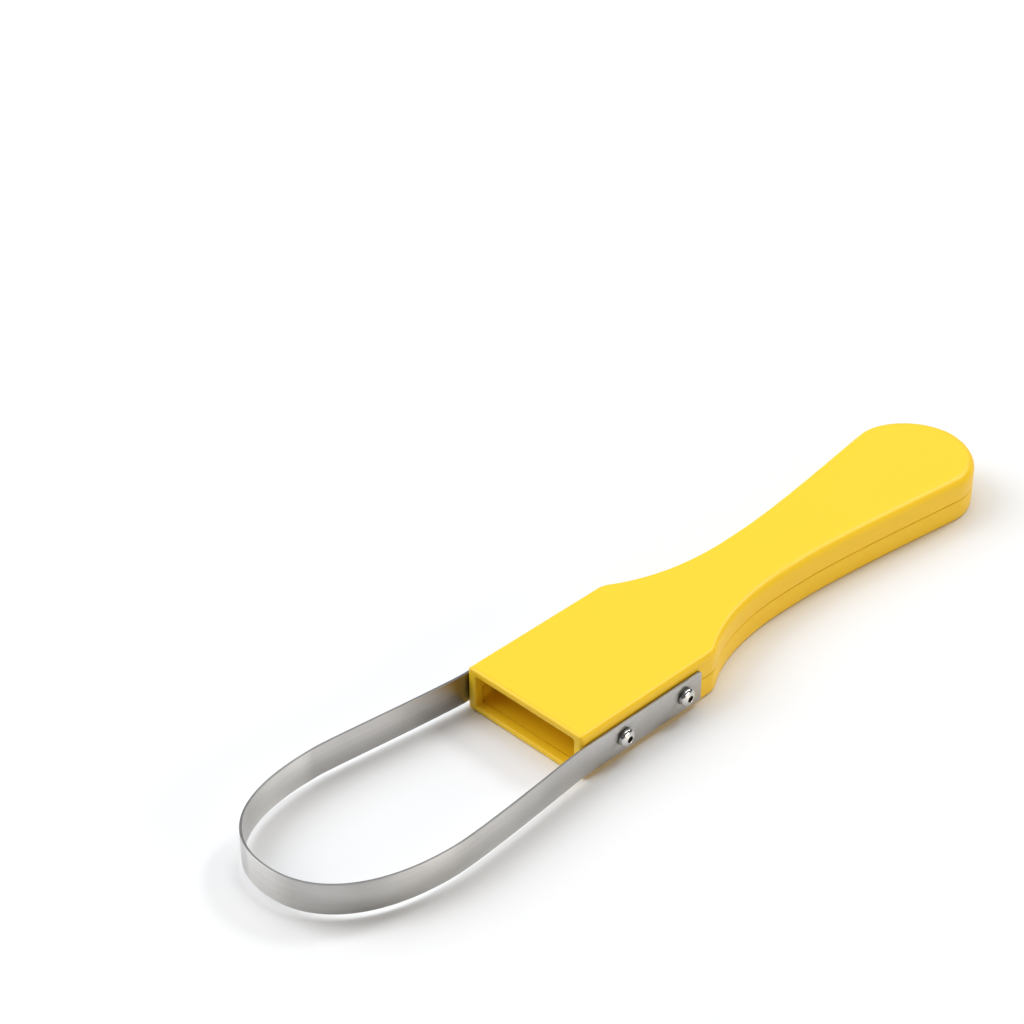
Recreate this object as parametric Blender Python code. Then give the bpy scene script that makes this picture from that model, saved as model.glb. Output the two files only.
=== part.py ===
"""A clay modeling tool: a flat moulded handle whose hollow head carries a riveted steel loop.

Metres, +Z up. The tool lies on its underside. +Y runs from the loop to the butt of the handle,
+X is the side of the head that the "right" rivets are on. The origin is the middle of the
tool's own box, on the surface it lies on.

Everything is modelled from the mouth, the open front of the head: y = 0 is the mouth's rim,
x = 0 the middle of the handle. One empty, mouth_datum, carries all the pieces into place.
"""
import math

import bmesh
import bpy
from mathutils import Matrix, Vector
from mathutils.geometry import interpolate_bezier

# Handle, seen from above, measured from the mouth
head_width = 0.0459
head_length = 0.0561
shoulder_round = 0.0022
mouth_corner_round = 0.0012
corner_pull = 0.6
flare_pull = 0.0235
flare_slope = 0.629
waist_width = 0.0260
waist_from_mouth = 0.106
waist_pull = 0.0044
grip_pull = 0.0185
butt_width = 0.0412
butt_length = 0.0199
butt_pull = 0.0036
butt_fullness = 0.52
handle_length = 0.1963

# Handle, seen from the side
handle_height = 0.0152
seam_step = 0.0004
seam_gap = 0.0003
lip_edge_radius = 0.0008
head_edge_radius = 0.0017
grip_edge_radius = 0.0030
underside_edge_radius = 0.0010

# Hollows of the handle
head_side_wall = 0.0031
grip_side_wall = 0.0024
face_wall = 0.0021
head_back_wall = 0.0045
socket_corner = 0.0009
bulkhead = 0.0025
collar_depth = 0.0030
peg_radius = 0.0015
peg_clearance = 0.0003
peg_tube_wall = 0.0014
peg_foot_clearance = 0.0010
peg_count = 3
first_peg_from_bulkhead = 0.0215
last_peg_from_butt = 0.0400

# Steel band, measured from the mouth
band_width = 0.0105
band_thickness = 0.0008
band_below_seam = 0.0006
band_foot_from_shoulder = 0.0072
band_corner = 0.0010
loop_length = 0.0942
belly_width = 0.0568
belly_from_mouth = 0.0522
root_pull = 0.0051
belly_root_pull = 0.0086
loop_fullness = 0.63
loop_lean = -0.0040

# Blind rivets and their backing washers
fit_gap = 0.0003
rivet_from_band_end = 0.0070
rivet_pitch = 0.0254
rivet_head_radius = 0.0028
rivet_head_height = 0.0020
rivet_head_rim = 0.0008
rivet_shank_radius = 0.0016
rivet_bore_radius = 0.0010
bore_mouth_radius = 0.0013
bore_mouth_depth = 0.0001
blind_bulb_radius = 0.0025
blind_bulb_length = 0.0022
blind_bulb_shape = ((0.72, 0.0), (1.0, 0.4), (0.94, 0.8))
mandrel_head_radius = 0.0015
mandrel_head_length = 0.0015
mandrel_head_shape = ((0.62, 0.0), (1.0, 0.45), (1.0, 1.0))
mandrel_stem_length = 0.0042
mandrel_break_length = 0.0002
mandrel_break_radius = 0.0004
washer_floor_clearance = 0.0010
washer_thickness = 0.0010

# Fineness of the curves
flare_steps = 9
grip_steps = 9
butt_steps = 11
shoulder_steps = 3
corner_steps = 3
edge_steps = 3
foot_steps = 3
loop_steps = 14
dome_steps = 5
turned_steps = 24
small_turned_steps = 16
socket_corner_steps = 2
band_corner_steps = 3
smooth_angle = 40.0
merge_distance = 0.000001
overshoot = 0.002

# Sizes that follow from the ones above
seam_height = handle_height / 2
fixing_height = seam_height - band_below_seam
band_bottom = fixing_height - band_width / 2
band_foot = head_length - band_foot_from_shoulder
socket_depth = head_length - head_back_wall
butt_from_mouth = handle_length - butt_length
wall_root = face_wall / 2
band_inner_x = head_width / 2 + fit_gap
band_middle_x = band_inner_x + band_thickness / 2
rivet_seat_x = band_inner_x + band_thickness + fit_gap
wall_inner_x = head_width / 2 - head_side_wall
washer_outer_x = wall_inner_x - fit_gap
washer_inner_x = washer_outer_x - washer_thickness
washer_radius = fixing_height - face_wall - washer_floor_clearance
grip_start = socket_depth + bulkhead
first_peg = grip_start + first_peg_from_bulkhead
peg_pitch = (handle_length - last_peg_from_butt - first_peg) / (peg_count - 1)
peg_bore_radius = peg_radius + peg_clearance
rivet_places = (band_foot - rivet_from_band_end - rivet_pitch, band_foot - rivet_from_band_end)
hole_radius = rivet_shank_radius + fit_gap
rivet_tail_x = washer_inner_x - fit_gap - rivet_seat_x - blind_bulb_length


def clear_scene():
    for old in list(bpy.data.objects):
        bpy.data.objects.remove(old, do_unlink=True)


def make_material(name, colour, roughness, metallic):
    material = bpy.data.materials.new(name)
    material.use_nodes = True
    shader = material.node_tree.nodes["Principled BSDF"]
    shader.inputs["Base Color"].default_value = (*colour, 1.0)
    shader.inputs["Roughness"].default_value = roughness
    shader.inputs["Metallic"].default_value = metallic
    return material


def link_object(name, bm, material, parent):
    """Turn a finished bmesh into a named object that rides on its parent."""
    mesh = bpy.data.meshes.new(name)
    bmesh.ops.recalc_face_normals(bm, faces=bm.faces)
    bm.to_mesh(mesh)
    bm.free()
    mesh.shade_smooth()
    mesh.set_sharp_from_angle(angle=math.radians(smooth_angle))
    piece = bpy.data.objects.new(name, mesh)
    bpy.context.collection.objects.link(piece)
    piece.parent = parent
    if material is not None:
        mesh.materials.append(material)
    return piece


def link_cutter(name, bm, parent):
    cutter = link_object(name, bm, None, parent)
    cutter.hide_render = True
    cutter.display_type = "WIRE"
    return cutter


def add_boolean(piece, other, operation):
    modifier = piece.modifiers.new(f"{operation.lower()} {other.name}", "BOOLEAN")
    modifier.operation = operation
    modifier.object = other
    modifier.solver = "EXACT"


def box_bmesh(low, high):
    """A box between two corners."""
    bm = bmesh.new()
    size = [b - a for a, b in zip(low, high)]
    middle = [(a + b) / 2 for a, b in zip(low, high)]
    bmesh.ops.create_cube(bm, size=1.0, matrix=Matrix.Translation(middle) @ Matrix.Diagonal((*size, 1.0)))
    return bm


def round_corner(corner, before, after, reach, steps):
    """Points of a rounded corner, from reach before it to reach after it, both ends included."""
    start = corner + (before - corner).normalized() * reach
    end = corner + (after - corner).normalized() * reach
    return interpolate_bezier(
        start, start.lerp(corner, corner_pull), end.lerp(corner, corner_pull), end, steps + 1
    )


def half_outline():
    """The +X half of the handle's plan, from the mouth to the end of the butt."""
    front = Vector((0.0, 0.0))
    mouth = Vector((head_width / 2, 0.0))
    shoulder = Vector((head_width / 2, head_length))
    flare = Vector((-flare_slope, 1.0)).normalized()
    waist = Vector((waist_width / 2, waist_from_mouth))
    butt = Vector((butt_width / 2, butt_from_mouth))
    end = Vector((0.0, handle_length))
    along = Vector((0.0, 1.0))
    across = Vector((1.0, 0.0))
    flare_start = shoulder + flare * shoulder_round
    points = round_corner(mouth, front, shoulder, mouth_corner_round, corner_steps)
    points += round_corner(shoulder, mouth, flare_start, shoulder_round, shoulder_steps)
    points += interpolate_bezier(
        flare_start,
        flare_start + flare * (flare_pull - shoulder_round),
        waist - along * waist_pull,
        waist,
        flare_steps + 1,
    )[1:]
    points += interpolate_bezier(
        waist, waist + along * grip_pull, butt - along * butt_pull, butt, grip_steps + 1
    )[1:]
    points += interpolate_bezier(
        butt,
        butt + along * butt_length * butt_fullness,
        end + across * butt_width / 2 * butt_fullness,
        end,
        butt_steps + 1,
    )[1:]
    return [Vector(p[:2]) for p in points]


def full_outline(inset=0.0):
    """The whole plan, counter-clockwise: pairs of a point and its outward direction."""
    right = half_outline()
    left = [Vector((-p.x, p.y)) for p in reversed(right[:-1])]
    ring = right + left
    pairs = []
    for i, point in enumerate(ring):
        run_in = (point - ring[i - 1]).normalized()
        run_out = (ring[(i + 1) % len(ring)] - point).normalized()
        run = (run_in + run_out).normalized()
        outward = Vector((run.y, -run.x))
        pairs.append((point - outward * inset, outward))
    return pairs


def edge_radius(point, outward, top):
    """How round the long edges are: crisp on the lip and the head, soft on top of the grip."""
    facing = max(0.0, 1.0 + min(outward.y, 0.0))
    if not top:
        return lip_edge_radius + (underside_edge_radius - lip_edge_radius) * facing
    head = lip_edge_radius + (head_edge_radius - lip_edge_radius) * facing
    t = (point.y - head_length) / (waist_from_mouth - head_length)
    t = min(max(t, 0.0), 1.0)
    return head + (grip_edge_radius - head) * t * t * (3 - 2 * t)


def handle_blank(inset=0.0):
    """The solid handle with rounded long edges, before anything is hollowed out of it."""
    pairs = full_outline(inset)
    rings = []
    for step in range(edge_steps + 1):
        angle = math.pi / 2 * step / edge_steps
        rings.append((math.sin(angle), 1 - math.cos(angle), False))
    for step in range(edge_steps + 1):
        angle = math.pi / 2 * (1 - step / edge_steps)
        rings.append((math.sin(angle), 1 - math.cos(angle), True))
    bm = bmesh.new()
    loops = []
    for spread, rise, top in rings:
        loop = []
        for point, outward in pairs:
            radius = edge_radius(point, outward, top)
            place = point - outward * radius * (1 - spread)
            lift = handle_height - radius * rise if top else radius * rise
            loop.append(bm.verts.new((place.x, place.y, lift)))
        edges = [bm.edges.new((a, b)) for a, b in zip(loop, loop[1:] + loop[:1])]
        loops.append((loop, edges))
    for (_, lower), (_, upper) in zip(loops, loops[1:]):
        bmesh.ops.bridge_loops(bm, edges=lower + upper)
    bm.faces.new(reversed(loops[0][0]))
    bm.faces.new(loops[-1][0])
    return bm


def hollow_outline():
    """Plan of the grip's hollow: the handle's plan inset by its wall and closed off at grip_start."""
    right = [p for p, _ in full_outline(grip_side_wall)][: len(half_outline())]
    first = next(i for i, p in enumerate(right) if p.y > grip_start)
    before = right[first - 1]
    after = right[first]
    corner = before.lerp(after, (grip_start - before.y) / (after.y - before.y))
    half = [corner] + right[first:]
    return half + [Vector((-p.x, p.y)) for p in reversed(half[:-1])]


def add_hollows(piece, parent):
    """Socket of the head, hollow of the grip and the four rivet holes."""
    socket = box_bmesh(
        (-wall_inner_x, -overshoot, face_wall),
        (wall_inner_x, socket_depth, handle_height - face_wall),
    )
    long_edges = [e for e in socket.edges if abs(e.verts[0].co.y - e.verts[1].co.y) > socket_depth]
    bmesh.ops.bevel(
        socket,
        geom=long_edges,
        offset=socket_corner,
        segments=socket_corner_steps,
        profile=0.5,
        affect="EDGES",
        material=-1,
    )
    hollow = bmesh.new()
    bottom = hollow.faces.new([hollow.verts.new((p.x, p.y, face_wall)) for p in hollow_outline()])
    lifted = bmesh.ops.extrude_face_region(hollow, geom=[bottom])["geom"]
    lift = handle_height - 2 * face_wall
    bmesh.ops.translate(
        hollow, vec=(0, 0, lift), verts=[v for v in lifted if isinstance(v, bmesh.types.BMVert)]
    )
    holes = bmesh.new()
    for y in rivet_places:
        bmesh.ops.create_cone(
            holes,
            cap_ends=True,
            segments=turned_steps,
            radius1=hole_radius,
            radius2=hole_radius,
            depth=head_width + 2 * overshoot,
            matrix=Matrix.Translation((0, y, fixing_height)) @ Matrix.Rotation(math.pi / 2, 4, "Y"),
        )
    for label, bm in (("socket", socket), ("grip_hollow", hollow), ("rivet_holes", holes)):
        add_boolean(piece, link_cutter(f"cut_{label}_{piece.name}", bm, parent), "DIFFERENCE")


def pegs_bmesh(radius, low, high):
    bm = bmesh.new()
    for peg in range(peg_count):
        bmesh.ops.create_cone(
            bm,
            cap_ends=True,
            segments=small_turned_steps,
            radius1=radius,
            radius2=radius,
            depth=high - low,
            matrix=Matrix.Translation((0, first_peg + peg_pitch * peg, (low + high) / 2)),
        )
    return bm


def build_upper_shell(material, parent):
    """The top of the handle, with the whole rim of the mouth and the pegs that locate it."""
    shell = link_object("handle_upper_shell", handle_blank(), material, parent)
    reach = head_width
    away = box_bmesh(
        (-reach, collar_depth, -overshoot), (reach, handle_length + overshoot, seam_height + seam_gap / 2)
    )
    add_boolean(shell, link_cutter("cut_below_seam", away, parent), "DIFFERENCE")
    add_hollows(shell, parent)
    pegs = pegs_bmesh(peg_radius, face_wall + peg_foot_clearance, handle_height - wall_root)
    add_boolean(shell, link_cutter("add_pegs", pegs, parent), "UNION")
    return shell


def build_lower_shell(material, parent):
    """The underside of the handle, tucked in behind the rim, with a tube for each peg."""
    shell = link_object("handle_lower_shell", handle_blank(seam_step), material, parent)
    reach = head_width
    above = box_bmesh(
        (-reach, -overshoot, seam_height - seam_gap / 2),
        (reach, handle_length + overshoot, handle_height + overshoot),
    )
    front = box_bmesh(
        (-reach, -2 * overshoot, -overshoot), (reach, collar_depth + seam_gap, handle_height + 2 * overshoot)
    )
    add_boolean(shell, link_cutter("cut_above_seam", above, parent), "DIFFERENCE")
    add_boolean(shell, link_cutter("cut_rim", front, parent), "DIFFERENCE")
    add_hollows(shell, parent)
    tubes = pegs_bmesh(peg_bore_radius + peg_tube_wall, wall_root, seam_height - seam_gap)
    add_boolean(shell, link_cutter("add_tubes", tubes, parent), "UNION")
    bores = pegs_bmesh(peg_bore_radius, face_wall + peg_foot_clearance / 2, seam_height + overshoot)
    add_boolean(shell, link_cutter("cut_bores", bores, parent), "DIFFERENCE")
    return shell


def loop_path():
    """Middle line of the band seen from above, from the right foot round to the left foot."""
    along = Vector((0.0, 1.0))
    across = Vector((1.0, 0.0))
    root = Vector((band_middle_x, 0.0))
    belly = Vector((belly_width / 2, -belly_from_mouth))
    tip = Vector((0.0, -loop_length + band_thickness / 2))
    upper = interpolate_bezier(
        root, root - along * root_pull, belly + along * belly_root_pull, belly, loop_steps + 1
    )
    tip_pull = (loop_length - belly_from_mouth) * loop_fullness
    lower = interpolate_bezier(
        belly, belly - along * tip_pull, tip + across * belly_width / 2 * loop_fullness, tip, loop_steps + 1
    )
    half = [Vector(p[:2]) for p in upper + lower[1:]]
    feet = [
        Vector((band_middle_x, band_foot - band_foot * step / foot_steps)) for step in range(foot_steps)
    ]
    half = feet + half
    path = half + [Vector((-p.x, p.y)) for p in reversed(half[:-1])]
    return [Vector((p.x + loop_lean * (min(p.y, 0.0) / loop_length) ** 2, p.y)) for p in path]


def build_band(material, parent):
    """The flat steel strip, standing on edge, bent to a loop and drilled for the rivets."""
    path = loop_path()
    bm = bmesh.new()
    bottom = bm.verts.new((*path[0], band_bottom))
    top = bm.verts.new((*path[0], band_bottom + band_width))
    first = bm.edges.new((bottom, top))
    edge = first
    for here, there in zip(path, path[1:]):
        step = there - here
        moved = bmesh.ops.extrude_edge_only(bm, edges=[edge])["geom"]
        bmesh.ops.translate(
            bm, vec=(*step, 0.0), verts=[v for v in moved if isinstance(v, bmesh.types.BMVert)]
        )
        edge = next(e for e in moved if isinstance(e, bmesh.types.BMEdge))
    corners = list(first.verts) + list(edge.verts)
    bmesh.ops.bevel(
        bm,
        geom=corners,
        offset=band_corner,
        segments=band_corner_steps,
        profile=0.5,
        affect="VERTICES",
        material=-1,
    )
    band = link_object("loop_band", bm, material, parent)
    solidify = band.modifiers.new("strip thickness", "SOLIDIFY")
    solidify.thickness = band_thickness
    solidify.offset = 0.0
    solidify.use_even_offset = True
    holes = bmesh.new()
    for side in (-1, 1):
        for y in rivet_places:
            bmesh.ops.create_cone(
                holes,
                cap_ends=True,
                segments=turned_steps,
                radius1=hole_radius,
                radius2=hole_radius,
                depth=band_thickness + 2 * overshoot,
                matrix=Matrix.Translation((side * band_middle_x, y, fixing_height))
                @ Matrix.Rotation(math.pi / 2, 4, "Y"),
            )
    add_boolean(band, link_cutter("cut_band_holes", holes, parent), "DIFFERENCE")
    return band


def turned_bmesh(profile, steps, closed):
    """A body turned about the X axis from (radius, x) pairs; an open profile ends on the axis."""
    bm = bmesh.new()
    verts = [bm.verts.new((x, 0.0, radius)) for radius, x in profile]
    following = verts[1:] + verts[:1] if closed else verts[1:]
    edges = [bm.edges.new(pair) for pair in zip(verts, following)]
    bmesh.ops.spin(
        bm,
        geom=verts + edges,
        cent=(0, 0, 0),
        axis=(1, 0, 0),
        angle=2 * math.pi,
        steps=steps,
        use_merge=True,
        use_duplicate=False,
    )
    bmesh.ops.remove_doubles(bm, verts=bm.verts, dist=merge_distance)
    return bm


def rivet_profile():
    """Half section of a set blind rivet: x = 0 is the seat of its head, +x points outwards."""
    points = [(rivet_bore_radius, rivet_tail_x)]
    for width, length in blind_bulb_shape:
        points.append((blind_bulb_radius * width, rivet_tail_x + blind_bulb_length * length))
    points.append((rivet_shank_radius, rivet_tail_x + blind_bulb_length))
    points.append((rivet_shank_radius, 0.0))
    points.append((rivet_head_radius, 0.0))
    for step in range(dome_steps):
        angle = math.pi / 2 * step / dome_steps
        rise = rivet_head_rim + (rivet_head_height - rivet_head_rim) * math.sin(angle)
        points.append((max(rivet_head_radius * math.cos(angle), bore_mouth_radius), rise))
    points.append((rivet_bore_radius, rivet_head_height - bore_mouth_depth))
    return points


def mandrel_profile():
    """What is left of the pulled mandrel: its head behind the blind end, its stem in the bore."""
    seat = rivet_tail_x - fit_gap
    end = seat - mandrel_head_length
    stem = rivet_bore_radius - fit_gap
    stem_end = seat + mandrel_stem_length
    points = [(0.0, end)]
    for width, length in mandrel_head_shape:
        points.append((mandrel_head_radius * width, end + mandrel_head_length * length))
    points.append((stem, seat))
    points.append((stem, stem_end))
    points.append((mandrel_break_radius, stem_end + mandrel_break_length))
    points.append((0.0, stem_end + mandrel_break_length))
    return points


def washer_profile():
    return [
        (hole_radius, 0.0),
        (washer_radius, 0.0),
        (washer_radius, -washer_thickness),
        (hole_radius, -washer_thickness),
    ]


def build_fixings(rivet_metal, mandrel_metal, washer_metal, parent):
    """Two blind rivets on each side of the head, each with its mandrel and backing washer."""
    for side_name, side in (("right", 1), ("left", -1)):
        for place_name, y in zip(("front", "rear"), rivet_places):
            tag = f"{side_name}_{place_name}"
            rivet = turned_bmesh(rivet_profile(), turned_steps, closed=True)
            mandrel = turned_bmesh(mandrel_profile(), small_turned_steps, closed=False)
            washer = turned_bmesh(washer_profile(), turned_steps, closed=True)
            pieces = (
                (f"rivet_{tag}", rivet, rivet_metal, rivet_seat_x),
                (f"mandrel_{tag}", mandrel, mandrel_metal, rivet_seat_x),
                (f"washer_{tag}", washer, washer_metal, washer_outer_x),
            )
            for name, bm, material, seat_x in pieces:
                piece = link_object(name, bm, material, parent)
                piece.location = (side * seat_x, y, fixing_height)
                piece.rotation_euler = (0.0, 0.0, 0.0 if side > 0 else math.pi)


def main():
    clear_scene()
    plastic = make_material("yellow_plastic", (0.93, 0.60, 0.04), 0.32, 0.0)
    steel = make_material("brushed_steel", (0.52, 0.51, 0.49), 0.30, 1.0)
    bright_steel = make_material("bright_steel", (0.70, 0.70, 0.70), 0.12, 1.0)
    dark_steel = make_material("dark_steel", (0.24, 0.24, 0.25), 0.42, 1.0)
    zinc = make_material("zinc_plate", (0.60, 0.61, 0.63), 0.35, 1.0)
    path = loop_path()
    widest = max(p.x for p in path)
    narrowest = min(p.x for p in path)
    datum = bpy.data.objects.new("mouth_datum", None)
    bpy.context.collection.objects.link(datum)
    datum.location = (-(widest + narrowest) / 2, (loop_length - handle_length) / 2, 0.0)
    build_upper_shell(plastic, datum)
    build_lower_shell(plastic, datum)
    build_band(steel, datum)
    build_fixings(bright_steel, dark_steel, zinc, datum)


main()
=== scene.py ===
# A clay modeling tool: a yellow handle moulded in two shells, with a steel loop riveted to its open head.
# The CAD solids set every place and size; the fine shells, loop and fixings made here stand for them.
import math

import bmesh
import bpy
from mathutils import Matrix, Vector
from mathutils.geometry import interpolate_bezier


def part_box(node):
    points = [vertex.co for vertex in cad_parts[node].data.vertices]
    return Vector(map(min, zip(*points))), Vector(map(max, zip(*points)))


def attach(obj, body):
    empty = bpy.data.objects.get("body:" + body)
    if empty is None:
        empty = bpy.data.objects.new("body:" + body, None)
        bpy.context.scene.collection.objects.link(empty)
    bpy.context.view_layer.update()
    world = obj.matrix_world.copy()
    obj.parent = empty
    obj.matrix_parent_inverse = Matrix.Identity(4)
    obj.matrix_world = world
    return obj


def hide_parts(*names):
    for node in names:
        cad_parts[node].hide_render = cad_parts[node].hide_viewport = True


meshCare = {
    "merge": 1e-6,  # metres within which points are one
    "cornerAngle": 0.7,  # radians past which an edge is a corner
}

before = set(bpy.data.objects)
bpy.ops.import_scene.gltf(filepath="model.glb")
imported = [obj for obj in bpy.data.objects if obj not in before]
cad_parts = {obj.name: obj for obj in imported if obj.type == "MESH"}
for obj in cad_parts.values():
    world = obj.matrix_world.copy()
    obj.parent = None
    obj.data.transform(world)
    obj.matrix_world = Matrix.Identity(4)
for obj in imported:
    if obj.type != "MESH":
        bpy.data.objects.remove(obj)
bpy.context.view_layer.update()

topLow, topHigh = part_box("handle_upper_shell")
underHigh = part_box("handle_lower_shell")[1]
bandLow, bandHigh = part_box("loop_band")
mouth = Vector(((topLow.x + topHigh.x) / 2, topLow.y, 0.0))  # middle of the mouth's rim, on the table
print("frame loaded with", len(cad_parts), "nodes")


def finePiece(name, bm, node, material, sharpDegrees):
    # a bmesh measured from the mouth becomes a finished piece in the frame
    bmesh.ops.translate(bm, verts=bm.verts, vec=mouth)
    mesh = bpy.data.meshes.new(name)
    bm.to_mesh(mesh)
    bm.free()
    mesh.materials.append(material)
    mesh.shade_smooth()
    mesh.set_sharp_from_angle(angle=math.radians(sharpDegrees))
    piece = bpy.data.objects.new(name, mesh)
    bpy.context.scene.collection.objects.link(piece)
    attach(piece, "root")
    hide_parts(node)


def cutAway(bm, cutters, joins=(), thickness=0.0):
    # joins and cuts a bmesh with others, after giving a sheet its thickness; the result is a new bmesh
    work = bpy.data.objects.new("work", bpy.data.meshes.new("work"))
    bm.to_mesh(work.data)
    bm.free()
    bpy.context.scene.collection.objects.link(work)
    if thickness:
        wall = work.modifiers.new("wall", "SOLIDIFY")
        wall.thickness = thickness
        wall.offset = 0.0
        wall.use_even_offset = True
    tools = []
    for operation, others in (("UNION", joins), ("DIFFERENCE", cutters)):
        for other in others:
            tool = bpy.data.objects.new("tool", bpy.data.meshes.new("tool"))
            bmesh.ops.recalc_face_normals(other, faces=other.faces)
            other.to_mesh(tool.data)
            other.free()
            bpy.context.scene.collection.objects.link(tool)
            modifier = work.modifiers.new("cut", "BOOLEAN")
            modifier.operation = operation
            modifier.object = tool
            modifier.solver = "EXACT"
            tools.append(tool)
    settled = work.evaluated_get(bpy.context.evaluated_depsgraph_get())
    result = bmesh.new()
    result.from_mesh(settled.to_mesh())
    settled.to_mesh_clear()
    for spare in tools + [work]:
        spareMesh = spare.data
        bpy.data.objects.remove(spare, do_unlink=True)
        bpy.data.meshes.remove(spareMesh)
    bmesh.ops.remove_doubles(result, verts=result.verts, dist=meshCare["merge"])
    bmesh.ops.dissolve_degenerate(result, edges=result.edges, dist=meshCare["merge"])
    return result


def softenEdges(bm, chosen, width, segments):
    # rounds the chosen edges
    bmesh.ops.bevel(
        bm, geom=chosen, offset=width, segments=segments, profile=0.5, affect="EDGES", material=-1
    )


def sharpEdges(bm, test):
    # corners whose two ends both pass the test
    return [
        e for e in bm.edges
        if len(e.link_faces) == 2 and e.calc_face_angle() > meshCare["cornerAngle"]
        and all(test(v.co) for v in e.verts)
    ]


def atHeight(z):
    return lambda p: abs(p.z - z) < meshCare["merge"]


def blockBetween(low, high):
    bm = bmesh.new()
    size = [b - a for a, b in zip(low, high)]
    middle = [(a + b) / 2 for a, b in zip(low, high)]
    bmesh.ops.create_cube(bm, size=1.0, matrix=Matrix.Translation(middle) @ Matrix.Diagonal((*size, 1.0)))
    return bm


def raiseFace(bm, face, lift):
    # extrudes a flat face and returns the far end
    moved = bmesh.ops.extrude_face_region(bm, geom=[face])["geom"]
    bmesh.ops.translate(bm, verts=[v for v in moved if isinstance(v, bmesh.types.BMVert)], vec=lift)
    return next(f for f in moved if isinstance(f, bmesh.types.BMFace))


# handle: two moulded shells, first from above, then in section, then inside
handlePlan = {
    "headLength": 0.0561,
    "shoulderRound": 0.0022,
    "mouthCornerRound": 0.0012,
    "cornerPull": 0.6,
    "flarePull": 0.0235,
    "flareSlope": 0.629,
    "waistWidth": 0.0260,
    "waistFromMouth": 0.106,
    "waistPull": 0.0044,
    "gripPull": 0.0185,
    "buttWidth": 0.0412,
    "buttLength": 0.0199,
    "buttPull": 0.0036,
    "buttFullness": 0.52,
    "steps": {"corner": 6, "flare": 22, "grip": 26, "butt": 26},
}
handleSection = {
    "height": topHigh.z,
    "seam": underHigh.z + 0.00015,
    "seamGap": 0.00024,
    "seamRoundTop": 0.00012,
    "seamRoundUnder": 0.00040,
    "lipRound": 0.0008,
    "headRound": 0.0017,
    "gripRound": 0.0030,
    "underRound": 0.0010,
    "roundSteps": 7,
    "collar": 0.0030,
    "capInset": 0.00018,
    "cutReach": 0.06,
    "cutPast": 0.01,
    "sharpDegrees": 32,
}
handleHollow = {
    "headSideWall": 0.0031,
    "gripSideWall": 0.0024,
    "faceWall": 0.0021,
    "socketDepth": 0.0516,
    "socketCorner": 0.0009,
    "socketPast": 0.004,
    "mouthEdge": 0.00032,
    "rimMargin": 0.0015,
    "bulkhead": 0.0025,
    "holeRadius": 0.0019,
    "holePast": 0.002,
    "pegs": (0.0756, 0.11595, 0.1563),
    "pegRadius": 0.0015,
    "pegBore": 0.0018,
    "pegTube": 0.0032,
    "pegFootGap": 0.0010,
    "pegTubeGap": 0.0003,
    "pegBorePast": 0.0020,
}
headWidth = topHigh.x - topLow.x
handleLength = topHigh.y - topLow.y


def roundedCorner(corner, before, after, reach):
    # points of a short curve in place of a corner of the plan
    start = corner + (before - corner).normalized() * reach
    end = corner + (after - corner).normalized() * reach
    pull = handlePlan["cornerPull"]
    return interpolate_bezier(
        start, start.lerp(corner, pull), end.lerp(corner, pull), end, handlePlan["steps"]["corner"] + 1
    )


def handleSide():
    # right side of the handle seen from above, from the mouth round to the end of the butt
    plan = handlePlan
    steps = plan["steps"]
    along = Vector((0.0, 1.0))
    across = Vector((1.0, 0.0))
    corner = Vector((headWidth / 2, 0.0))
    shoulder = Vector((headWidth / 2, plan["headLength"]))
    flare = Vector((-plan["flareSlope"], 1.0)).normalized()
    flareStart = shoulder + flare * plan["shoulderRound"]
    waist = Vector((plan["waistWidth"] / 2, plan["waistFromMouth"]))
    butt = Vector((plan["buttWidth"] / 2, handleLength - plan["buttLength"]))
    end = Vector((0.0, handleLength))
    points = roundedCorner(corner, Vector((0.0, 0.0)), shoulder, plan["mouthCornerRound"])
    points += roundedCorner(shoulder, corner, flareStart, plan["shoulderRound"])
    runs = (
        (flareStart, flare * (plan["flarePull"] - plan["shoulderRound"]), along * -plan["waistPull"], waist,
         steps["flare"]),
        (waist, along * plan["gripPull"], along * -plan["buttPull"], butt, steps["grip"]),
        (butt, along * plan["buttLength"] * plan["buttFullness"],
         across * plan["buttWidth"] / 2 * plan["buttFullness"], end, steps["butt"]),
    )
    for start, leave, arrive, stop, count in runs:
        points += interpolate_bezier(start, start + leave, stop + arrive, stop, count + 1)[1:]
    return [Vector(p[:2]) for p in points]


def handleRing(inset):
    # the whole plan as pairs of a point and its outward direction
    right = handleSide()
    ring = right + [Vector((-p.x, p.y)) for p in reversed(right[:-1])]
    pairs = []
    for i, point in enumerate(ring):
        run = (point - ring[i - 1]).normalized() + (ring[(i + 1) % len(ring)] - point).normalized()
        outward = Vector((run.y, -run.x)).normalized()
        pairs.append((point - outward * inset, outward))
    return pairs


def edgeRound(point, outward, above):
    # crisp on the lip and the head, soft on top of the grip
    section = handleSection
    facing = max(0.0, 1.0 + min(outward.y, 0.0))
    if not above:
        return section["lipRound"] + (section["underRound"] - section["lipRound"]) * facing
    head = section["lipRound"] + (section["headRound"] - section["lipRound"]) * facing
    t = (point.y - handlePlan["headLength"]) / (handlePlan["waistFromMouth"] - handlePlan["headLength"])
    t = min(max(t, 0.0), 1.0)
    return head + (section["gripRound"] - head) * t * t * (3 - 2 * t)


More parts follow.
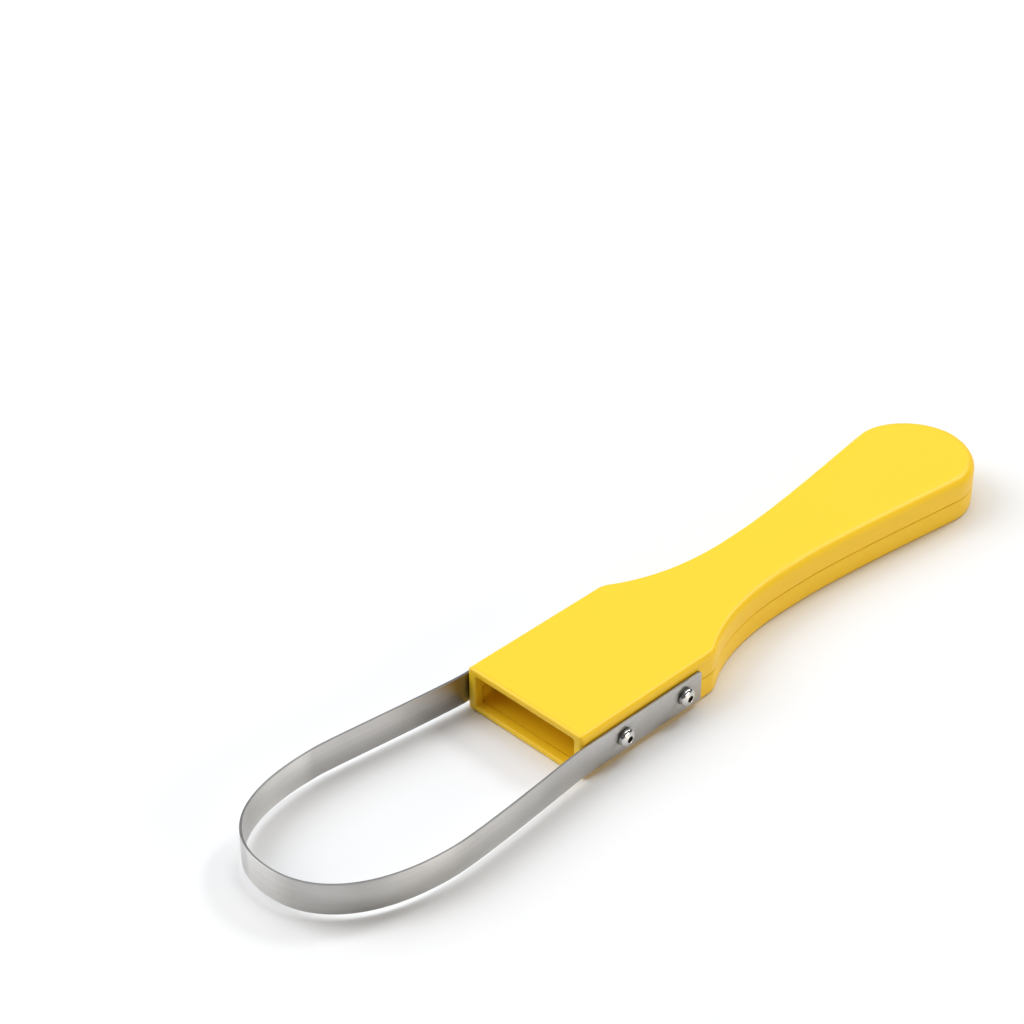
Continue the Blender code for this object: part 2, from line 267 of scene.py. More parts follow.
def handleBlank():
    # solid handle, its long edges rounded by a quarter turn below and above
    section = handleSection
    turns = [math.pi / 2 * i / section["roundSteps"] for i in range(section["roundSteps"] + 1)]
    rows = [(math.sin(a), 1 - math.cos(a), False) for a in turns]
    rows += [(math.sin(a), 1 - math.cos(a), True) for a in reversed(turns)]
    pairs = handleRing(0.0)
    bm = bmesh.new()
    loops = []
    for spread, rise, above in rows:
        ring = []
        for point, outward in pairs:
            radius = edgeRound(point, outward, above)
            place = point - outward * radius * (1 - spread)
            lift = section["height"] - radius * rise if above else radius * rise
            ring.append(bm.verts.new((*place, lift)))
        loops.append([bm.edges.new(pair) for pair in zip(ring, ring[1:] + ring[:1])])
    for lower, upper in zip(loops, loops[1:]):
        bmesh.ops.bridge_loops(bm, edges=lower + upper)
    caps = bmesh.ops.contextual_create(bm, geom=loops[0])["faces"]
    caps += bmesh.ops.contextual_create(bm, geom=loops[-1])["faces"]
    for cap in caps:
        bmesh.ops.inset_region(bm, faces=[cap], thickness=section["capInset"], use_even_offset=True)
    bmesh.ops.recalc_face_normals(bm, faces=bm.faces)
    return bm


def socketCutter():
    # the pocket behind the mouth, its long corners rounded
    hollow = handleHollow
    x = headWidth / 2 - hollow["headSideWall"]
    bm = blockBetween(
        (-x, -hollow["socketPast"], hollow["faceWall"]),
        (x, hollow["socketDepth"], handleSection["height"] - hollow["faceWall"]),
    )
    long = [e for e in bm.edges if abs(e.verts[0].co.y - e.verts[1].co.y) > hollow["socketDepth"]]
    softenEdges(bm, long, hollow["socketCorner"], 5)
    return bm


def gripCutter():
    # the hollow of the grip, closed off from the socket by the bulkhead
    hollow = handleHollow
    start = hollow["socketDepth"] + hollow["bulkhead"]
    inner = [p for p, _ in handleRing(hollow["gripSideWall"])][: len(handleSide())]
    first = next(i for i, p in enumerate(inner) if p.y > start)
    before = inner[first - 1]
    corner = before.lerp(inner[first], (start - before.y) / (inner[first].y - before.y))
    half = [corner] + inner[first:]
    outline = half + [Vector((-p.x, p.y)) for p in reversed(half[:-1])]
    bm = bmesh.new()
    floorFace = bm.faces.new([bm.verts.new((*p, hollow["faceWall"])) for p in outline])
    raiseFace(bm, floorFace, (0, 0, handleSection["height"] - 2 * hollow["faceWall"]))
    return bm


def rivetHoles():
    # two rods right across the head, where the rivets go
    bm = bmesh.new()
    for place in ("front", "rear"):
        low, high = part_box("rivet_right_" + place)
        middle = (low + high) / 2 - mouth
        bmesh.ops.create_cone(
            bm, cap_ends=True, segments=48, radius1=handleHollow["holeRadius"],
            radius2=handleHollow["holeRadius"], depth=headWidth + 2 * handleHollow["holePast"],
            matrix=Matrix.Translation((0, middle.y, middle.z)) @ Matrix.Rotation(math.pi / 2, 4, "Y"),
        )
    return bm


def pegRow(radius, low, high):
    # upright round posts along the middle of the grip
    bm = bmesh.new()
    for y in handleHollow["pegs"]:
        bmesh.ops.create_cone(
            bm, cap_ends=True, segments=32, radius1=radius, radius2=radius, depth=high - low,
            matrix=Matrix.Translation((0, y, (low + high) / 2)),
        )
    return bm


def upperShell(material):
    section, hollow = handleSection, handleHollow
    reach, past = section["cutReach"], section["cutPast"]
    seam = section["seam"] + section["seamGap"] / 2
    root = section["height"] - hollow["faceWall"] / 2
    body = cutAway(handleBlank(), [
        blockBetween((-reach, section["collar"], -past), (reach, handleLength + past, seam)),
        socketCutter(), gripCutter(), rivetHoles(),
    ])
    body = cutAway(
        body, [], joins=[pegRow(hollow["pegRadius"], hollow["faceWall"] + hollow["pegFootGap"], root)]
    )
    softenEdges(body, sharpEdges(body, atHeight(seam)), section["seamRoundTop"], 3)
    inside = headWidth / 2 - hollow["headSideWall"] + 10 * meshCare["merge"]
    lowest, highest = hollow["rimMargin"], section["height"] - hollow["rimMargin"]
    rim = sharpEdges(
        body, lambda p: abs(p.y) < meshCare["merge"] and abs(p.x) < inside and lowest < p.z < highest
    )
    softenEdges(body, rim, hollow["mouthEdge"], 4)
    finePiece(
        "handleTop", body, "handle_upper_shell", material, section["sharpDegrees"]
    )


def lowerShell(material):
    section, hollow = handleSection, handleHollow
    reach, past = section["cutReach"], section["cutPast"]
    seam = section["seam"] - section["seamGap"] / 2
    collar = section["collar"] + section["seamGap"]
    body = cutAway(handleBlank(), [
        blockBetween((-reach, -past, seam), (reach, handleLength + past, section["height"] + past)),
        blockBetween((-reach, -2 * past, -past), (reach, collar, section["height"] + 2 * past)),
        socketCutter(), gripCutter(), rivetHoles(),
    ])
    bores = pegRow(
        hollow["pegBore"], hollow["faceWall"] + hollow["pegFootGap"] / 2, seam + hollow["pegBorePast"]
    )
    tubes = pegRow(hollow["pegTube"], hollow["faceWall"] / 2, seam - hollow["pegTubeGap"])
    body = cutAway(body, [bores], joins=[tubes])
    softenEdges(body, sharpEdges(body, atHeight(seam)), section["seamRoundUnder"], 4)
    finePiece(
        "handleUnderside", body, "handle_lower_shell", material, section["sharpDegrees"]
    )


# steel loop: one strip on edge, its sizes measured from the mouth
loopBand = {
    "thickness": 0.0008,
    "width": bandHigh.z - bandLow.z,
    "fitGap": 0.0003,
    "cornerRound": 0.0010,
    "edgeRound": 0.00012,
    "belly": 0.0568,
    "bellyFromMouth": 0.0522,
    "rootPull": 0.0051,
    "bellyPull": 0.0086,
    "fullness": 0.63,
    "lean": -0.0040,
    "steps": 44,
    "footSteps": 6,
    "sharpDegrees": 35,
}


def bandPath():
    # middle line of the strip from above, right foot round to left foot
    band = loopBand
    length = mouth.y - bandLow.y
    foot = bandHigh.y - mouth.y
    along = Vector((0.0, 1.0))
    across = Vector((1.0, 0.0))
    root = Vector((headWidth / 2 + band["fitGap"] + band["thickness"] / 2, 0.0))
    belly = Vector((band["belly"] / 2, -band["bellyFromMouth"]))
    tip = Vector((0.0, -length + band["thickness"] / 2))
    tipPull = (length - band["bellyFromMouth"]) * band["fullness"]
    upper = interpolate_bezier(
        root, root - along * band["rootPull"], belly + along * band["bellyPull"], belly, band["steps"] + 1
    )
    lower = interpolate_bezier(
        belly, belly - along * tipPull, tip + across * band["belly"] / 2 * band["fullness"], tip,
        band["steps"] + 1,
    )
    feet = [root.lerp(Vector((root.x, foot)), 1 - i / band["footSteps"]) for i in range(band["footSteps"])]
    half = feet + [Vector(p[:2]) for p in upper + lower[1:]]
    path = half + [Vector((-p.x, p.y)) for p in reversed(half[:-1])]
    return [Vector((p.x + band["lean"] * (min(p.y, 0.0) / length) ** 2, p.y)) for p in path]


def loopPiece(material):
    # a strip without thickness drawn along the path and mapped, then thickened, drilled and softened
    band = loopBand
    path = bandPath()
    bm = bmesh.new()
    stripMap = bm.loops.layers.uv.new("strip")
    low = bm.verts.new((*path[0], bandLow.z))
    high = bm.verts.new((*path[0], bandHigh.z))
    edge = bm.edges.new((low, high))
    ends = [low, high]
    for here, there in zip(path, path[1:]):
        moved = bmesh.ops.extrude_edge_only(bm, edges=[edge])["geom"]
        bmesh.ops.translate(
            bm, verts=[v for v in moved if isinstance(v, bmesh.types.BMVert)], vec=(*(there - here), 0.0)
        )
        edge = next(e for e in moved if isinstance(e, bmesh.types.BMEdge))
    ends += list(edge.verts)
    run = [0.0]
    for here, there in zip(path, path[1:]):
        run.append(run[-1] + (there - here).length)
    places = {(round(p.x, 7), round(p.y, 7)): s for p, s in zip(path, run)}
    for face in bm.faces:
        for corner in face.loops:
            p = corner.vert.co
            nearest = min(places, key=lambda k: (k[0] - p.x) ** 2 + (k[1] - p.y) ** 2)
            corner[stripMap].uv = (places[nearest], p.z)  # metres along and across the strip
    bmesh.ops.bevel(
        bm, geom=ends, offset=band["cornerRound"], segments=6, profile=0.5, affect="VERTICES", material=-1
    )
    bmesh.ops.recalc_face_normals(bm, faces=bm.faces)
    body = cutAway(bm, [rivetHoles()], thickness=band["thickness"])
    softenEdges(body, sharpEdges(body, lambda p: True), band["edgeRound"], 3)
    finePiece("steelLoop", body, "loop_band", material, band["sharpDegrees"])


# blind rivets, their broken mandrels and backing washers
rivetShape = {
    "headRadius": 0.0028,
    "headHeight": 0.0020,
    "rim": 0.0008,
    "rimRound": 0.00012,
    "shankRadius": 0.0016,
    "boreRadius": 0.0010,
    "boreMouth": 0.00106,
    "boreLip": ((1.08, 0.00002), (1.0, 0.00007)),  # share of boreMouth, depth below the head's top
    "boreMouthDepth": 0.00045,
    "bulbRadius": 0.0025,
    "bulbLength": 0.0022,
    "bulbShape": ((0.62, 0.0), (0.85, 0.12), (1.0, 0.42), (0.94, 0.80)),  # shares of radius and length
    "domeStop": 1.15,
    "domeSteps": 14,
    "turns": 64,
    "sharpDegrees": 40,
}
mandrelShape = {
    "headRadius": 0.0015,
    "headLength": 0.0015,
    "headShape": ((0.55, 0.0), (0.86, 0.16), (1.0, 0.45), (1.0, 0.94), (0.94, 1.0)),
    "stem": 0.0007,
    "recess": 0.0008,
    "breakRadius": 0.0004,
    "breakRise": 0.00018,
    "breakTip": 0.00022,
    "turns": 40,
}
washerShape = {"bore": 0.0019, "edge": 0.00012, "turns": 56}


def turned(profile, closed, turns):
    # a body turned about the X axis from (radius, x) pairs
    bm = bmesh.new()
    verts = [bm.verts.new((x, 0.0, radius)) for radius, x in profile]
    following = verts[1:] + verts[:1] if closed else verts[1:]
    edges = [bm.edges.new(pair) for pair in zip(verts, following)]
    bmesh.ops.spin(
        bm, geom=verts + edges, cent=(0, 0, 0), axis=(1, 0, 0), angle=2 * math.pi, steps=turns,
        use_merge=True, use_duplicate=False,
    )
    bmesh.ops.remove_doubles(bm, verts=bm.verts, dist=1e-7)
    bmesh.ops.recalc_face_normals(bm, faces=bm.faces)
    return bm


def rivetProfile(length):
    # x = 0 is the seat of the head, +x points outwards, length is that of the whole rivet
    rivet = rivetShape
    tail = rivet["headHeight"] - length
    points = [(rivet["boreRadius"], tail)]
    points += [
        (rivet["bulbRadius"] * wide, tail + rivet["bulbLength"] * along) for wide, along in rivet["bulbShape"]
    ]
    points += [
        (rivet["shankRadius"], tail + rivet["bulbLength"]),
        (rivet["shankRadius"], 0.0),
        (rivet["headRadius"] - rivet["rimRound"], 0.0),
        (rivet["headRadius"], rivet["rimRound"]),
    ]
    rise = rivet["headHeight"] - rivet["rim"]
    for i in range(rivet["domeSteps"] + 1):
        angle = math.pi / 2 * i / rivet["domeSteps"]
        radius = rivet["headRadius"] * math.cos(angle)
        if radius > rivet["boreMouth"] * rivet["domeStop"]:
            points.append((radius, rivet["rim"] + rise * math.sin(angle)))
    points += [(rivet["boreMouth"] * wide, rivet["headHeight"] - depth) for wide, depth in rivet["boreLip"]]
    points.append((rivet["boreRadius"], rivet["headHeight"] - rivet["boreMouthDepth"]))
    return points


def mandrelProfile(length):
    # x = 0 is the end of the head inside the handle, +x points outwards
    mandrel = mandrelShape
    stop = length - mandrel["recess"]
    points = [(0.0, 0.0)]
    points += [
        (mandrel["headRadius"] * wide, mandrel["headLength"] * along) for wide, along in mandrel["headShape"]
    ]
    points += [
        (mandrel["stem"], mandrel["headLength"]), (mandrel["stem"], stop),
        (mandrel["breakRadius"], stop + mandrel["breakRise"]), (0.0, stop + mandrel["breakTip"]),
    ]
    return points


def washerProfile(radius, thickness):
    # a flat ring with its two outer edges chamfered
    bore, edge = washerShape["bore"], washerShape["edge"]
    return [
        (bore, 0.0), (radius - edge, 0.0), (radius, edge),
        (radius, thickness - edge), (radius - edge, thickness), (bore, thickness),
    ]


def fixings(rivetMetal, stemShadeMetal, washerMetal):
    # each one turned about X, then moved to where its solid lies
    for side in ("right", "left"):
        for place in ("front", "rear"):
            tag = side + "_" + place
            outward = 1 if side == "right" else -1
            for kind, slot, material in (
                ("rivet", "rivet_metal", rivetMetal),
                ("mandrel", "mandrel_steel", stemShadeMetal),
                ("washer", "washer_steel", washerMetal),
            ):
                node = kind + "_" + tag
                low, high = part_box(node)
                length = high.x - low.x
                middle = (low + high) / 2 - mouth
                inner = (low.x if outward > 0 else high.x) - mouth.x
                if kind == "rivet":
                    bm = turned(rivetProfile(length), True, rivetShape["turns"])
                    bmesh.ops.translate(bm, verts=bm.verts, vec=(length - rivetShape["headHeight"], 0, 0))
                elif kind == "mandrel":
                    bm = turned(mandrelProfile(length), False, mandrelShape["turns"])
                else:
                    bm = turned(washerProfile((high.y - low.y) / 2, length), True, washerShape["turns"])
                if outward < 0:
                    about = Matrix.Rotation(math.pi, 3, "Z")
                    bmesh.ops.rotate(bm, verts=bm.verts, cent=(0, 0, 0), matrix=about)
                bmesh.ops.translate(bm, verts=bm.verts, vec=(inner, middle.y, middle.z))
                name = kind + side.capitalize() + place.capitalize()
                finePiece(name, bm, node, material, rivetShape["sharpDegrees"])


# small marks shared by the finishes
scratchShape = {
    "runs": ((0.35, (1.0, 0.035, 1.0)), (-0.9, (0.05, 1.0, 1.0))),  # turn and stretch of each direction
    "noise": {"Detail": 2.0, "Roughness": 0.6, "Distortion": 0.12},
    "band": ((0.0, 0.0), (0.655, 0.0), (0.675, 1.0), (0.70, 0.0)),
}
mottleShape = {"patches": {"Detail": 3.0, "Roughness": 0.55}, "grain": {"Detail": 2.0, "Roughness": 0.5}}


def groupWith(name, inputs, outputs):
    # an empty node group with its two ends
    group = bpy.data.node_groups.new(name, "ShaderNodeTree")
    for label, kind, value in inputs:
        socket = group.interface.new_socket(label, in_out="INPUT", socket_type=kind)
        socket.default_value = value
    for label, kind in outputs:
        group.interface.new_socket(label, in_out="OUTPUT", socket_type=kind)
    start = group.nodes.new("NodeGroupInput")
    end = group.nodes.new("NodeGroupOutput")
    return group, start, end


def addNode(tree, kind, settings=None, values=None):
    node = tree.nodes.new(kind)
    for key, value in (settings or {}).items():
        setattr(node, key, value)
    for key, value in (values or {}).items():
        node.inputs[key].default_value = value
    return node


def ramp(tree, fac, stops):
    # greys at their places between 0 and 1
    node = tree.nodes.new("ShaderNodeValToRGB")
    elements = node.color_ramp.elements
    while len(elements) < len(stops):
        elements.new(0.5)
    for element, (place, value) in zip(elements, stops):
        element.position = place
        element.color = (value, value, value, 1.0)
    tree.links.new(fac, node.inputs["Fac"])
    return node.outputs["Color"]


def scratchGroup():
    # sparse hairline scratches in two directions; Mask is 1 on a scratch
    tree, start, end = groupWith(
        "hairlineScratches",
        (("Vector", "NodeSocketVector", (0, 0, 0)), ("Scale", "NodeSocketFloat", 60.0),
         ("Amount", "NodeSocketFloat", 0.5)),
        (("Mask", "NodeSocketFloat"),),
    )
    masks = []
    for turn, stretch in scratchShape["runs"]:
        mapping = addNode(tree, "ShaderNodeMapping", None, {"Rotation": (0.0, 0.0, turn), "Scale": stretch})
        noise = addNode(tree, "ShaderNodeTexNoise", None, scratchShape["noise"])
        tree.links.new(start.outputs["Vector"], mapping.inputs["Vector"])
        tree.links.new(mapping.outputs["Vector"], noise.inputs["Vector"])
        tree.links.new(start.outputs["Scale"], noise.inputs["Scale"])
        masks.append(ramp(tree, noise.outputs["Fac"], scratchShape["band"]))
    both = addNode(tree, "ShaderNodeMath", {"operation": "MAXIMUM"})
    scaled = addNode(tree, "ShaderNodeMath", {"operation": "MULTIPLY"})
    tree.links.new(masks[0], both.inputs[0])
    tree.links.new(masks[1], both.inputs[1])
    tree.links.new(both.outputs[0], scaled.inputs[0])
    tree.links.new(start.outputs["Amount"], scaled.inputs[1])
    tree.links.new(scaled.outputs[0], end.inputs["Mask"])
    return tree


def mottleGroup():
    # slow uneven patches with a fine grain on top; Value runs about 0 to 1
    tree, start, end = groupWith(
        "unevenSurface",
        (("Vector", "NodeSocketVector", (0, 0, 0)), ("Patch Scale", "NodeSocketFloat", 30.0),
         ("Grain Scale", "NodeSocketFloat", 900.0), ("Grain Share", "NodeSocketFloat", 0.3)),
        (("Value", "NodeSocketFloat"), ("Grain", "NodeSocketFloat")),
    )
    patches = addNode(tree, "ShaderNodeTexNoise", None, mottleShape["patches"])
    grain = addNode(tree, "ShaderNodeTexNoise", None, mottleShape["grain"])
    mix = addNode(tree, "ShaderNodeMix", {"data_type": "FLOAT"})
    tree.links.new(start.outputs["Vector"], patches.inputs["Vector"])
    tree.links.new(start.outputs["Vector"], grain.inputs["Vector"])
    tree.links.new(start.outputs["Patch Scale"], patches.inputs["Scale"])
    tree.links.new(start.outputs["Grain Scale"], grain.inputs["Scale"])
    tree.links.new(start.outputs["Grain Share"], mix.inputs[0])
    tree.links.new(patches.outputs["Fac"], mix.inputs[2])
    tree.links.new(grain.outputs["Fac"], mix.inputs[3])
    tree.links.new(mix.outputs[0], end.inputs["Value"])
    tree.links.new(grain.outputs["Fac"], end.inputs["Grain"])
    return tree


scratches = scratchGroup()
mottle = mottleGroup()


def newMaterial(name, constants):
    material = bpy.data.materials.new(name)
    material.use_nodes = True
    shader = material.node_tree.nodes["Principled BSDF"]
    for label, value in constants.items():
        shader.inputs[label].default_value = value
    return material, material.node_tree, shader


def placed(tree, group, values):
    # one use of a shared group, with its own values
    node = addNode(tree, "ShaderNodeGroup", {"node_tree": group})
    for label, value in values.items():
        node.inputs[label].default_value = value
    return node


def rangeOf(tree, value, low, high):
    # 0 to 1 spread from low to high
    node = addNode(tree, "ShaderNodeMapRange", None, {"To Min": low, "To Max": high})
    tree.links.new(value, node.inputs["Value"])
    return node.outputs["Result"]


def mixColours(tree, fac, first, second):
    node = addNode(tree, "ShaderNodeMix", {"data_type": "RGBA"})
    node.inputs[6].default_value = (*first, 1.0)
    node.inputs[7].default_value = (*second, 1.0)
    tree.links.new(fac, node.inputs[0])
    return node.outputs[2]


def multiplied(tree, first, second):
    node = addNode(tree, "ShaderNodeMix", {"data_type": "RGBA", "blend_type": "MULTIPLY"}, {0: 1.0})
    tree.links.new(first, node.inputs[6])
    tree.links.new(second, node.inputs[7])
    return node.outputs[2]


def bumpInto(tree, shader, height, strength, distance):
    bump = addNode(tree, "ShaderNodeBump", None, {"Strength": strength, "Distance": distance})
    tree.links.new(height, bump.inputs["Height"])
    tree.links.new(bump.outputs["Normal"], shader.inputs["Normal"])


# finishes of the plastic, the strip and the fixings; the strip's base colour carries painted reflections and
# painted edge shade, and the mandrels' carries painted shade
plasticLook = {
    "yellow": (0.950, 0.612, 0.015),
    "yellowDeep": (0.930, 0.586, 0.012),
    "roughLow": 0.38,
    "roughHigh": 0.47,
    "patchScale": 22.0,
    "grainScale": 2600.0,
    "grainShare": 0.25,
    "scratchScale": 95.0,
    "scratchAmount": 0.6,
    "scratchRoughness": 0.10,
    "scratchDepth": -0.6,
    "bump": 0.35,
    "grainHeight": 0.000012,
}
steelLook = {
    "light": (0.93, 0.915, 0.89),
    "dark": (0.80, 0.785, 0.76),
    "roughLow": 0.24,
    "roughHigh": 0.36,
    "stretch": (0.02, 1.0, 1.0),  # the grain is fifty times longer than wide
    "grain": {"Scale": 5200.0, "Detail": 3.0, "Roughness": 0.7},
    "streak": {"Scale": 900.0, "Detail": 2.0, "Roughness": 0.5},
    "cloud": {"Scale": 55.0, "Detail": 2.0, "Roughness": 0.45},
    "streakShare": 0.45,
    "contrast": ((0.32, 0.0), (0.68, 1.0)),
    "bump": 0.5,
    "grainHeight": 0.000004,
    "length": 0.32,
    "paintedReflection": (  # metres along the strip from its right foot, and how bright the painted reflection is there
        (0.000, 0.57), (0.060, 0.63), (0.085, 0.74), (0.110, 0.71), (0.124, 0.60), (0.130, 0.54),
        (0.149, 0.58), (0.155, 0.72), (0.165, 0.74), (0.168, 0.60), (0.185, 0.62), (0.196, 0.84),
        (0.209, 0.86), (0.213, 0.69), (0.226, 0.66), (0.243, 0.60), (0.255, 0.48), (0.266, 0.36),
    ),
    # base colour darker along the strip's two long edges: painted shade that dims the highlight on them
    "edge": 0.00016,
    "edgeBrightness": 0.60,
}
rivetLook = {
    "light": (0.74, 0.735, 0.725),
    "dark": (0.60, 0.595, 0.585),
    "roughLow": 0.13,
    "roughHigh": 0.24,
    "patchScale": 420.0,
    "grainScale": 3000.0,
    "grainHeight": 0.00001,
}
# near-black base colour: painted shade, so the mandrel sunk in each rivet reads as a dark hole
stemShadeLook = {
    "light": (0.05, 0.05, 0.05),
    "dark": (0.02, 0.02, 0.02),
    "roughLow": 0.5,
    "roughHigh": 0.7,
    "patchScale": 900.0,
    "grainScale": 4000.0,
    "grainHeight": 0.00006,
}
washerLook = {
    "light": (0.66, 0.68, 0.71),
    "dark": (0.50, 0.52, 0.55),
    "roughLow": 0.26,
    "roughHigh": 0.42,
    "patchScale": 500.0,
    "grainScale": 3500.0,
    "grainHeight": 0.00002,
}
fixingWear = {
    "grainShare": 0.4,
    "scratchScale": 1.5,
    "scratchAmount": 0.5,
    "scratchRoughness": 0.15,
    "bump": 0.4,
}


def mouldedPlastic():
    look = plasticLook
    material, tree, shader = newMaterial("mouldedYellow", {"Metallic": 0.0, "IOR": 1.46})
    place = addNode(tree, "ShaderNodeTexCoord").outputs["Object"]
    uneven = placed(tree, mottle, {
        "Patch Scale": look["patchScale"],
        "Grain Scale": look["grainScale"],
        "Grain Share": look["grainShare"],
    })
    marks = placed(tree, scratches, {"Scale": look["scratchScale"], "Amount": look["scratchAmount"]})
    tree.links.new(place, uneven.inputs["Vector"])
    tree.links.new(place, marks.inputs["Vector"])
    colour = mixColours(tree, uneven.outputs["Value"], look["yellow"], look["yellowDeep"])
    tree.links.new(colour, shader.inputs["Base Color"])
    rough = rangeOf(tree, uneven.outputs["Value"], look["roughLow"], look["roughHigh"])
    worn = addNode(tree, "ShaderNodeMath", {"operation": "MULTIPLY_ADD"}, {1: look["scratchRoughness"]})
    tree.links.new(marks.outputs["Mask"], worn.inputs[0])
    tree.links.new(rough, worn.inputs[2])
    tree.links.new(worn.outputs[0], shader.inputs["Roughness"])
    height = addNode(tree, "ShaderNodeMath", {"operation": "MULTIPLY_ADD"}, {1: look["scratchDepth"]})
    tree.links.new(marks.outputs["Mask"], height.inputs[0])
    tree.links.new(uneven.outputs["Grain"], height.inputs[2])
    bumpInto(tree, shader, height.outputs[0], look["bump"], look["grainHeight"])
    return material


def rolledSteel():
    # grain and streaks run along the strip, in its own map
    look = steelLook
    material, tree, shader = newMaterial("rolledSteel", {"Metallic": 1.0})
    strip = addNode(tree, "ShaderNodeUVMap", {"uv_map": "strip"}).outputs["UV"]
    along = addNode(tree, "ShaderNodeMapping", None, {"Scale": look["stretch"]})
    tree.links.new(strip, along.inputs["Vector"])
    grain = addNode(tree, "ShaderNodeTexNoise", None, look["grain"])
    streak = addNode(tree, "ShaderNodeTexNoise", None, look["streak"])
    tree.links.new(along.outputs["Vector"], grain.inputs["Vector"])
    tree.links.new(along.outputs["Vector"], streak.inputs["Vector"])
    cloud = addNode(tree, "ShaderNodeTexNoise", None, look["cloud"])
    tree.links.new(strip, cloud.inputs["Vector"])
    blend = addNode(tree, "ShaderNodeMix", {"data_type": "FLOAT"}, {0: look["streakShare"]})
    tree.links.new(cloud.outputs["Fac"], blend.inputs[2])
    tree.links.new(streak.outputs["Fac"], blend.inputs[3])
    metal = mixColours(tree, ramp(tree, blend.outputs[0], look["contrast"]), look["light"], look["dark"])
    run = addNode(tree, "ShaderNodeSeparateXYZ")
    tree.links.new(strip, run.inputs[0])
    share = addNode(tree, "ShaderNodeMath", {"operation": "DIVIDE"}, {1: look["length"]})
    tree.links.new(run.outputs["X"], share.inputs[0])
    # painted reflection: light and dark patches in the strip's base colour stand for the floor and lamps it
    # mirrors, and stay put as the view moves
    stops = [(place / look["length"], value) for place, value in look["paintedReflection"]]
    patches = ramp(tree, share.outputs[0], stops)
    height = addNode(tree, "ShaderNodeSeparateXYZ")
    tree.links.new(addNode(tree, "ShaderNodeTexCoord").outputs["Object"], height.inputs[0])
    across = addNode(tree, "ShaderNodeMapRange", None, {"From Min": bandLow.z, "From Max": bandHigh.z})
    tree.links.new(height.outputs["Z"], across.inputs["Value"])
    # painted shade along both long edges of the strip
    edge = look["edge"] / (bandHigh.z - bandLow.z)
    paintedEdgeShade = ramp(tree, across.outputs["Result"], (
        (0.0, look["edgeBrightness"]), (edge, 1.0), (1.0 - edge, 1.0), (1.0, look["edgeBrightness"]),
    ))
    tree.links.new(multiplied(tree, multiplied(tree, metal, patches), paintedEdgeShade), shader.inputs["Base Color"])
    tree.links.new(
        rangeOf(tree, grain.outputs["Fac"], look["roughLow"], look["roughHigh"]), shader.inputs["Roughness"]
    )
    bumpInto(tree, shader, grain.outputs["Fac"], look["bump"], look["grainHeight"])
    return material


def fixingMetal(name, look):
    # bare metal with uneven patches and a few scratches
    wear = fixingWear
    material, tree, shader = newMaterial(name, {"Metallic": 1.0})
    place = addNode(tree, "ShaderNodeTexCoord").outputs["Object"]
    uneven = placed(tree, mottle, {
        "Patch Scale": look["patchScale"],
        "Grain Scale": look["grainScale"],
        "Grain Share": wear["grainShare"],
    })
    marks = placed(tree, scratches, {
        "Scale": look["patchScale"] * wear["scratchScale"], "Amount": wear["scratchAmount"],
    })
    tree.links.new(place, uneven.inputs["Vector"])
    tree.links.new(place, marks.inputs["Vector"])
    colour = mixColours(tree, uneven.outputs["Value"], look["light"], look["dark"])
    tree.links.new(colour, shader.inputs["Base Color"])
    rough = rangeOf(tree, uneven.outputs["Value"], look["roughLow"], look["roughHigh"])
    worn = addNode(tree, "ShaderNodeMath", {"operation": "MULTIPLY_ADD"}, {1: wear["scratchRoughness"]})
    tree.links.new(marks.outputs["Mask"], worn.inputs[0])
    tree.links.new(rough, worn.inputs[2])
    tree.links.new(worn.outputs[0], shader.inputs["Roughness"])
    bumpInto(tree, shader, uneven.outputs["Value"], wear["bump"], look["grainHeight"])
    return material


yellow = mouldedPlastic()
steel = rolledSteel()
bright = fixingMetal("brightRivet", rivetLook)
# the mandrels' near-black colour is painted shade for the hollow of each rivet
paintedShadeStem = fixingMetal("paintedShadeStem", stemShadeLook)
zinc = fixingMetal("zincPlate", washerLook)
print("materials made")

upperShell(yellow)
lowerShell(yellow)
print("handle shells made")
loopPiece(steel)
print("steel loop made")
fixings(bright, paintedShadeStem, zinc)
print("rivets, mandrels and washers made")


# table, lights and camera, in metres, watts and degrees
stageSetup = {
    "table": (0.84, 0.84, 0.835),
    "tableSize": 6.0,
    "tableRoughness": 0.42,
    "world": 0.10,
}
lampSetup = {
    "left": {"place": (-1.2, -0.65, 1.2), "size": (1.4, 1.4), "power": 25.0, "colour": (0.98, 1.0, 1.04)},
    "behind": {"place": (0.05, 1.15, 1.15), "size": (0.35, 0.35), "power": 7.4, "colour": (0.98, 1.0, 1.03)},
    "overhead": {"place": (-0.3, 0.25, 1.6), "size": (1.2, 1.2), "power": 12.0, "colour": (0.98, 1.0, 1.03)},
    "right": {"place": (1.6, 0.3, 0.45), "size": (1.1, 0.6), "power": 10.8, "colour": (1.0, 0.88, 0.72)},
    "leftFront": {"place": (-0.6, -1.4, 0.8), "size": (0.9, 0.7), "power": 2.5, "colour": (1.0, 0.92, 0.84)},
    "farPanel": {"place": (-1.1, 1.35, 1.05), "size": (1.8, 0.9), "power": 3.2, "colour": (1.0, 1.0, 1.0)},
}
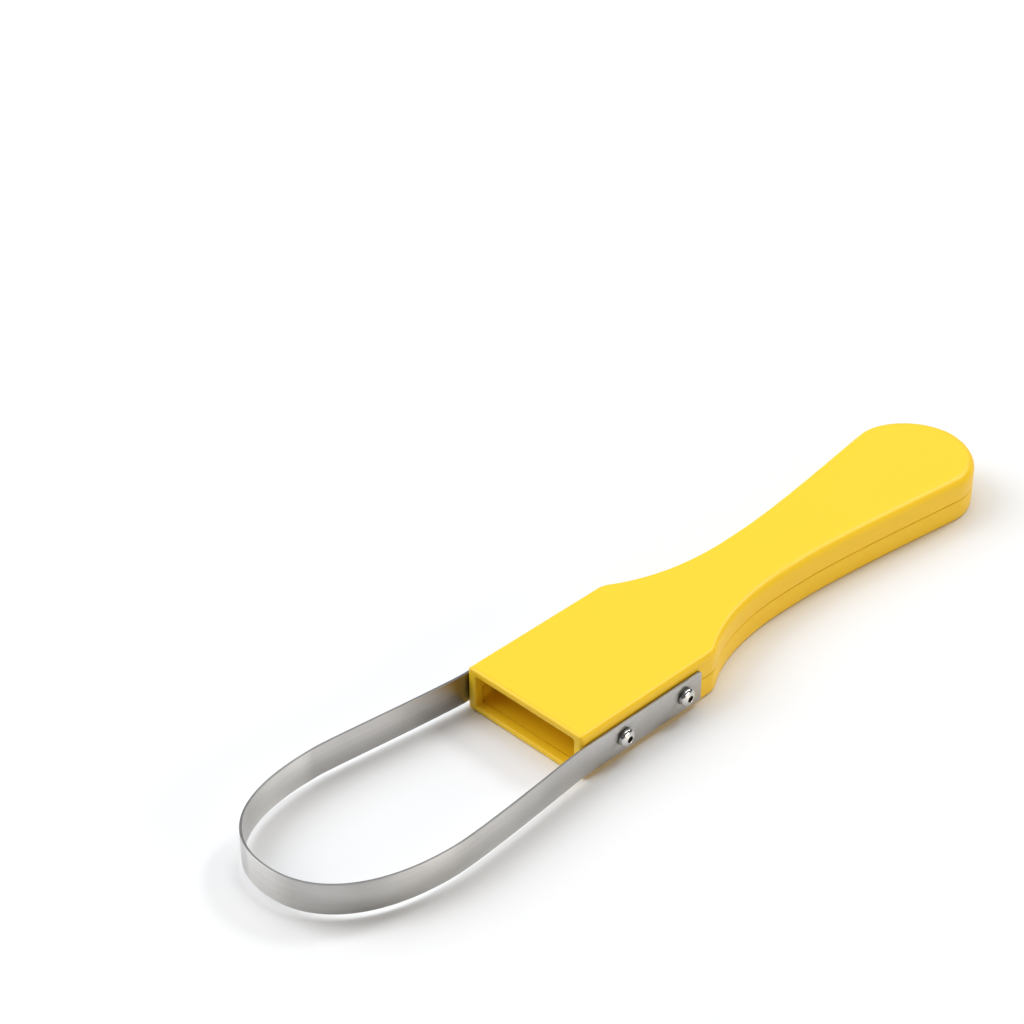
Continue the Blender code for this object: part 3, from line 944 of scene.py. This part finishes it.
cameraSetup = {
    "fromMouth": (0.4163, -0.4155, 0.4996),
    "azimuth": 45.35,
    "elevation": 35.425,
    "roll": -0.28,
    "lens": 94.34,
    "sensor": 36.0,
}


def layTable():
    bm = bmesh.new()
    bmesh.ops.create_grid(bm, x_segments=1, y_segments=1, size=stageSetup["tableSize"] / 2)
    mesh = bpy.data.meshes.new("table")
    bm.to_mesh(mesh)
    bm.free()
    material, tree, shader = newMaterial("tablePaper", {"Roughness": stageSetup["tableRoughness"]})
    shader.inputs["Base Color"].default_value = (*stageSetup["table"], 1.0)
    mesh.materials.append(material)
    table = bpy.data.objects.new("table", mesh)
    bpy.context.scene.collection.objects.link(table)


def hangLamps():
    for name, lamp in lampSetup.items():
        light = bpy.data.lights.new(name, "AREA")
        light.shape = "RECTANGLE"
        light.size, light.size_y = lamp["size"]
        light.energy = lamp["power"]
        light.color = lamp["colour"]
        holder = bpy.data.objects.new(name, light)
        holder.location = lamp["place"]
        holder.rotation_euler = (-Vector(lamp["place"])).to_track_quat("-Z", "Y").to_euler()
        bpy.context.scene.collection.objects.link(holder)


def setWorld():
    world = bpy.data.worlds.new("studio")
    world.use_nodes = True
    world.node_tree.nodes["Background"].inputs["Color"].default_value = (1.0, 1.0, 1.0, 1.0)
    world.node_tree.nodes["Background"].inputs["Strength"].default_value = stageSetup["world"]
    bpy.context.scene.world = world


def setCamera():
    camera = bpy.data.cameras.new("camera")
    camera.sensor_width = cameraSetup["sensor"]
    camera.lens = cameraSetup["lens"]
    holder = bpy.data.objects.new("camera", camera)
    holder.location = mouth + Vector(cameraSetup["fromMouth"])
    turns = (("Z", cameraSetup["azimuth"]), ("X", 90 - cameraSetup["elevation"]), ("Z", cameraSetup["roll"]))
    aim = Matrix.Identity(3)
    for axis, degrees in turns:
        aim = aim @ Matrix.Rotation(math.radians(degrees), 3, axis)
    holder.rotation_euler = aim.to_euler()
    bpy.context.scene.collection.objects.link(holder)
    bpy.context.scene.camera = holder


layTable()
hangLamps()
setWorld()
setCamera()
bpy.context.scene.view_settings.view_transform = "Standard"
print("table, lights and camera set")

bpy.context.view_layer.update()
